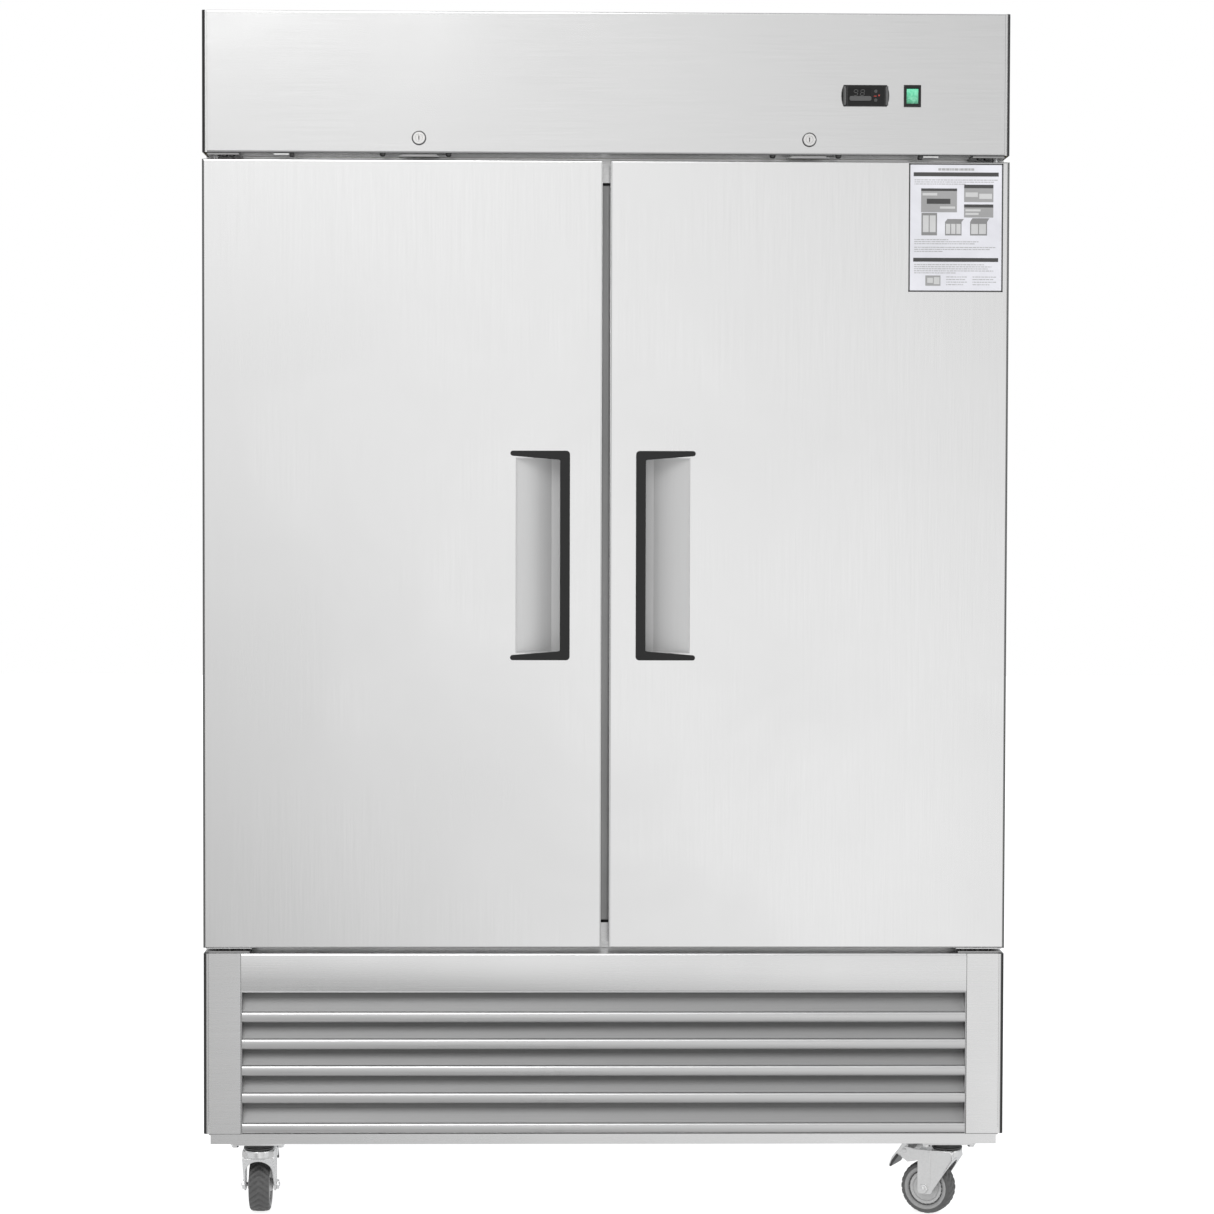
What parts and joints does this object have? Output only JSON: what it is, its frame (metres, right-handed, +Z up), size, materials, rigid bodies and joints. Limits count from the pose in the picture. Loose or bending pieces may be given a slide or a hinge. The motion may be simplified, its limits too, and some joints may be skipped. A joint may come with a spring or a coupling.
{
  "type": "reach-in refrigerator",
  "caption": "Two-door stainless reach-in refrigerator with recessed handles, louvred base grille, locks, digital controller, shelves and swivel casters.",
  "frame": {"origin": "on the floor under the middle of the cabinet's box, in plan", "axes": "+Z up, +X to the right as seen from the front, and +Y from the doors to the back"},
  "size_m": [1.372, 0.824, 2.061],
  "materials": {
    "stainless": "brushed",
    "galvanised_steel": "galvanised, dull",
    "foam": "cut foam",
    "liner_aluminium": "stucco, satin",
    "grey_plastic": "satin",
    "black_plastic": "satin",
    "green_plastic": "translucent gloss",
    "nickel": "bright",
    "gasket_rubber": "matt",
    "coil_aluminium": "finned, satin",
    "dark_paint": "satin black",
    "coated_wire": "epoxy coated wire",
    "zinc_plate": "bright zinc",
    "tyre_rubber": "matt grey"
  },
  "bodies": {
    "cabinet": {"outer_wrapper": "stainless", "face_frame": "stainless", "header_panel": "stainless", "grille_panel": "stainless", "hinge_top_left": "stainless", "hinge_top_right": "stainless", "hinge_bottom_left": "stainless", "hinge_bottom_right": "stainless", "back_panel": "galvanised_steel", "base_frame": "galvanised_steel", "rear_cover": "galvanised_steel", "fan_shroud": "galvanised_steel", "insulation": "foam", "liner": "liner_aluminium", "mullion": "grey_plastic", "evaporator_cover": "grey_plastic", "controller": "black_plastic", "switch_frame": "black_plastic", "cord_gland": "black_plastic", "lock_barrel_left": "nickel", "lock_barrel_right": "nickel", "condenser_coil": "coil_aluminium", "compressor": "dark_paint", "shelf_left_1": "coated_wire", "shelf_left_2": "coated_wire", "shelf_left_3": "coated_wire", "shelf_right_1": "coated_wire", "shelf_right_2": "coated_wire", "shelf_right_3": "coated_wire", "caster_plate_front_left": "zinc_plate", "caster_plate_front_right": "zinc_plate", "caster_plate_rear_left": "zinc_plate", "caster_plate_rear_right": "zinc_plate"},
    "left_door": {"door_skin_left": "stainless", "door_inner_left": "liner_aluminium", "door_gasket_left": "gasket_rubber", "handle_trim_left": "black_plastic", "handle_pocket_left": "stainless"},
    "left_lock": {"lock_plug_left": "nickel"},
    "right_door": {"door_skin_right": "stainless", "door_inner_right": "liner_aluminium", "door_gasket_right": "gasket_rubber", "handle_trim_right": "black_plastic", "handle_pocket_right": "stainless"},
    "right_lock": {"lock_plug_right": "nickel"},
    "rocker": {"switch_rocker": "green_plastic"},
    "button_upper": {"controller_button_upper": "black_plastic"},
    "button_lower": {"controller_button_lower": "black_plastic"},
    "condenser_fan": {"condenser_fan": "black_plastic"},
    "evaporator_fan": {"evaporator_fan": "black_plastic"},
    "caster_front_left": {"fork_front_left": "zinc_plate"},
    "wheel_front_left": {"wheel_front_left": "tyre_rubber"},
    "caster_front_right": {"fork_front_right": "zinc_plate"},
    "wheel_front_right": {"wheel_front_right": "tyre_rubber"},
    "caster_rear_left": {"fork_rear_left": "zinc_plate"},
    "wheel_rear_left": {"wheel_rear_left": "tyre_rubber"},
    "caster_rear_right": {"fork_rear_right": "zinc_plate"},
    "wheel_rear_right": {"wheel_rear_right": "tyre_rubber"},
    "brake_front_left": {"brake_front_left": "zinc_plate"},
    "brake_front_right": {"brake_front_right": "zinc_plate"}
  },
  "joints": [
    {"name": "left_door_hinge", "type": "hinge", "parent": "cabinet", "child": "left_door", "pos_m": [-0.664, -0.378, 1.13895], "axis": [0, 0, -1], "range_deg": [0, 120], "stiffness_Nm_per_rad": 3},
    {"name": "left_lock_turn", "type": "hinge", "parent": "cabinet", "child": "left_lock", "pos_m": [-0.3184, -0.408, 1.8468], "axis": [0, 1, 0], "range_deg": [0, 90]},
    {"name": "right_door_hinge", "type": "hinge", "parent": "cabinet", "child": "right_door", "pos_m": [0.664, -0.378, 1.13895], "axis": [0, 0, 1], "range_deg": [0, 120], "stiffness_Nm_per_rad": 3},
    {"name": "right_lock_turn", "type": "hinge", "parent": "cabinet", "child": "right_lock", "pos_m": [0.3442, -0.408, 1.8468], "axis": [0, 1, 0], "range_deg": [0, 90]},
    {"name": "switch_rock", "type": "hinge", "parent": "cabinet", "child": "rocker", "pos_m": [0.519, -0.405, 1.9215], "axis": [-1, 0, 0], "range_deg": [0, 14]},
    {"name": "button_upper_press", "type": "slide", "parent": "cabinet", "child": "button_upper", "axis": [0, 1, 0], "range_m": [0, 0.0008], "stiffness_N_per_m": 300, "springref_m": -0.0004},
    {"name": "button_lower_press", "type": "slide", "parent": "cabinet", "child": "button_lower", "axis": [0, 1, 0], "range_m": [0, 0.0008], "stiffness_N_per_m": 300, "springref_m": -0.0004},
    {"name": "condenser_fan_spin", "type": "hinge", "parent": "cabinet", "child": "condenser_fan", "pos_m": [-0.26, -0.2377, 0.2954], "axis": [0, 1, 0], "continuous": true},
    {"name": "evaporator_fan_spin", "type": "hinge", "parent": "cabinet", "child": "evaporator_fan", "pos_m": [0, 0.2155, 1.845], "axis": [0, 0, 1], "continuous": true},
    {"name": "front_left_swivel", "type": "hinge", "parent": "cabinet", "child": "caster_front_left", "pos_m": [-0.5944, -0.372, 0.1], "axis": [0, 0, 1], "continuous": true},
    {"name": "front_left_wheel_roll", "type": "hinge", "parent": "caster_front_left", "child": "wheel_front_left", "pos_m": [-0.5944, -0.3385, 0.046], "axis": [1, 0, 0], "continuous": true},
    {"name": "front_left_brake_press", "type": "hinge", "parent": "caster_front_left", "child": "brake_front_left", "pos_m": [-0.5944, -0.3035, 0.11], "axis": [-1, 0, 0], "range_deg": [0, 10]},
    {"name": "front_right_swivel", "type": "hinge", "parent": "cabinet", "child": "caster_front_right", "pos_m": [0.5944, -0.372, 0.1], "axis": [0, 0, 1], "continuous": true},
    {"name": "front_right_wheel_roll", "type": "hinge", "parent": "caster_front_right", "child": "wheel_front_right", "pos_m": [0.56429, -0.35731, 0.046], "axis": [0.4384, 0.8988, 0], "continuous": true},
    {"name": "front_right_brake_press", "type": "hinge", "parent": "caster_front_right", "child": "brake_front_right", "pos_m": [0.53283, -0.34197, 0.11], "axis": [-0.4384, -0.8988, 0], "range_deg": [0, 10]},
    {"name": "rear_left_swivel", "type": "hinge", "parent": "cabinet", "child": "caster_rear_left", "pos_m": [-0.5944, 0.33, 0.1], "axis": [0, 0, 1], "continuous": true},
    {"name": "rear_left_wheel_roll", "type": "hinge", "parent": "caster_rear_left", "child": "wheel_rear_left", "pos_m": [-0.5609, 0.33, 0.046], "axis": [0, -1, 0], "continuous": true},
    {"name": "rear_right_swivel", "type": "hinge", "parent": "cabinet", "child": "caster_rear_right", "pos_m": [0.5944, 0.33, 0.1], "axis": [0, 0, 1], "continuous": true},
    {"name": "rear_right_wheel_roll", "type": "hinge", "parent": "caster_rear_right", "child": "wheel_rear_right", "pos_m": [0.5944, 0.2965, 0.046], "axis": [-1, 0, 0], "continuous": true}
  ]
}
